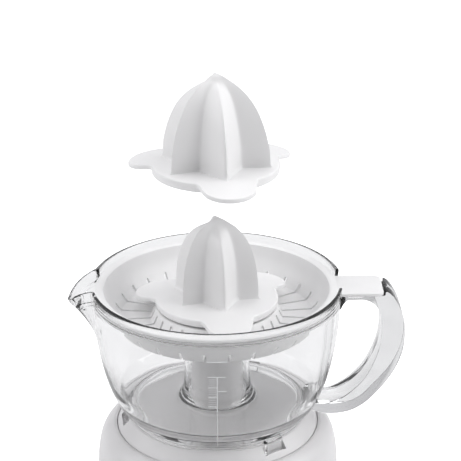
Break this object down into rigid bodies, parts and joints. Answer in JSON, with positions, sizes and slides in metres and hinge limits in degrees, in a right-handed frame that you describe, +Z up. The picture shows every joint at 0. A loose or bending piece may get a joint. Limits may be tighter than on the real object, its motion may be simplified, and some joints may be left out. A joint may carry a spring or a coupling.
{
  "type": "citrus press juicer",
  "caption": "Electric citrus press: motor base, clear jug with spout and handle, strainer, small reaming cone on the drive and a large lobed cone lifted above it.",
  "frame": {"origin": "on the motor axis, in the plane that the rubber feet stand on", "axes": "+Z up along the motor axis, +X towards the jug's handle, -X towards its spout, -Y towards the front with the measuring scale, +Y towards the rear with the cord inlet"},
  "size_m": [0.2275, 0.1716, 0.3344],
  "materials": {
    "white_plastic": "white moulded plastic, satin gloss",
    "housing_plastic": "white moulded plastic, glossy",
    "clear_plastic": "clear polished plastic",
    "rubber": "matt black rubber",
    "steel": "turned steel",
    "zinc": "zinc plated screws",
    "bronze": "sintered bronze bushes",
    "acetal": "natural acetal gears",
    "grey_plastic": "grey glass filled plastic",
    "copper": "enamelled copper winding",
    "black_plastic": "black plastic",
    "capacitor_case": "yellow film capacitor case"
  },
  "bodies": {
    "base": {"base_housing": "housing_plastic", "top_deck": "housing_plastic", "base_plate": "housing_plastic", "rubber_foot_1": "rubber", "rubber_foot_2": "rubber", "rubber_foot_3": "rubber", "rubber_foot_4": "rubber", "base_screw_1": "zinc", "base_screw_2": "zinc", "base_screw_3": "zinc", "base_screw_4": "zinc", "cord_gland": "black_plastic", "gearbox_case": "grey_plastic", "gearbox_cover": "grey_plastic", "gearbox_screw_1": "zinc", "gearbox_screw_2": "zinc", "gearbox_screw_3": "zinc", "drive_unit_screw_1": "zinc", "drive_unit_screw_2": "zinc", "drive_unit_screw_3": "zinc", "lower_bush": "bronze", "tower_bush": "bronze", "idler_pin": "steel", "motor_can": "steel", "stator_coil": "copper", "motor_screw_1": "zinc", "motor_screw_2": "zinc", "micro_switch": "black_plastic", "run_capacitor": "capacitor_case"},
    "motor": {"motor_rotor": "steel", "motor_pinion": "acetal"},
    "idler": {"idler_gear": "acetal"},
    "output": {"output_gear": "acetal"},
    "spindle": {"drive_spindle": "steel", "drive_head": "white_plastic", "return_spring": "steel"},
    "switch": {"switch_plunger": "white_plastic"},
    "jug": {"jug_bowl": "clear_plastic", "jug_handle": "clear_plastic"},
    "strainer": {"strainer": "white_plastic"},
    "sleeve": {"drive_sleeve": "white_plastic"},
    "small_cone": {"small_cone": "white_plastic"},
    "large_cone": {"large_cone": "white_plastic"}
  },
  "joints": [
    {"name": "drive_spin", "type": "hinge", "parent": "base", "child": "output", "pos_m": [0, 0, 0.06], "axis": [0, 0, 1], "continuous": true},
    {"name": "idler_spin", "type": "hinge", "parent": "base", "child": "idler", "pos_m": [0, 0.034, 0.06], "axis": [0, 0, 1], "continuous": true},
    {"name": "motor_spin", "type": "hinge", "parent": "base", "child": "motor", "pos_m": [-0.02349, 0.02545, 0.05], "axis": [0, 0, 1], "continuous": true},
    {"name": "spindle_press", "type": "slide", "parent": "output", "child": "spindle", "axis": [0, 0, 1], "range_m": [-0.0025, 0], "stiffness_N_per_m": 400, "springref_m": 0.01, "deforming": ["return_spring"]},
    {"name": "switch_press", "type": "slide", "parent": "base", "child": "switch", "axis": [0, 0, 1], "range_m": [-0.0025, 0]},
    {"name": "jug_lift", "type": "slide", "parent": "base", "child": "jug", "axis": [0, 0, 1], "range_m": [0, 0.1]},
    {"name": "strainer_lift", "type": "slide", "parent": "jug", "child": "strainer", "axis": [0, 0, 1], "range_m": [0, 0.06]},
    {"name": "sleeve_spin", "type": "hinge", "parent": "strainer", "child": "sleeve", "pos_m": [0, 0, 0.175], "axis": [0, 0, 1], "continuous": true},
    {"name": "small_cone_lift", "type": "slide", "parent": "sleeve", "child": "small_cone", "axis": [0, 0, 1], "range_m": [0, 0.06]},
    {"name": "large_cone_lift", "type": "slide", "parent": "small_cone", "child": "large_cone", "axis": [0, 0, 1], "range_m": [-0.0891, 0]}
  ],
  "couplings": [
    {"joint": "idler_spin", "follows": "drive_spin", "ratio": -4.6667},
    {"joint": "motor_spin", "follows": "drive_spin", "ratio": 18.667},
    {"joint": "sleeve_spin", "follows": "drive_spin", "ratio": 1},
    {"joint": "switch_press", "follows": "spindle_press", "ratio": 1}
  ]
}
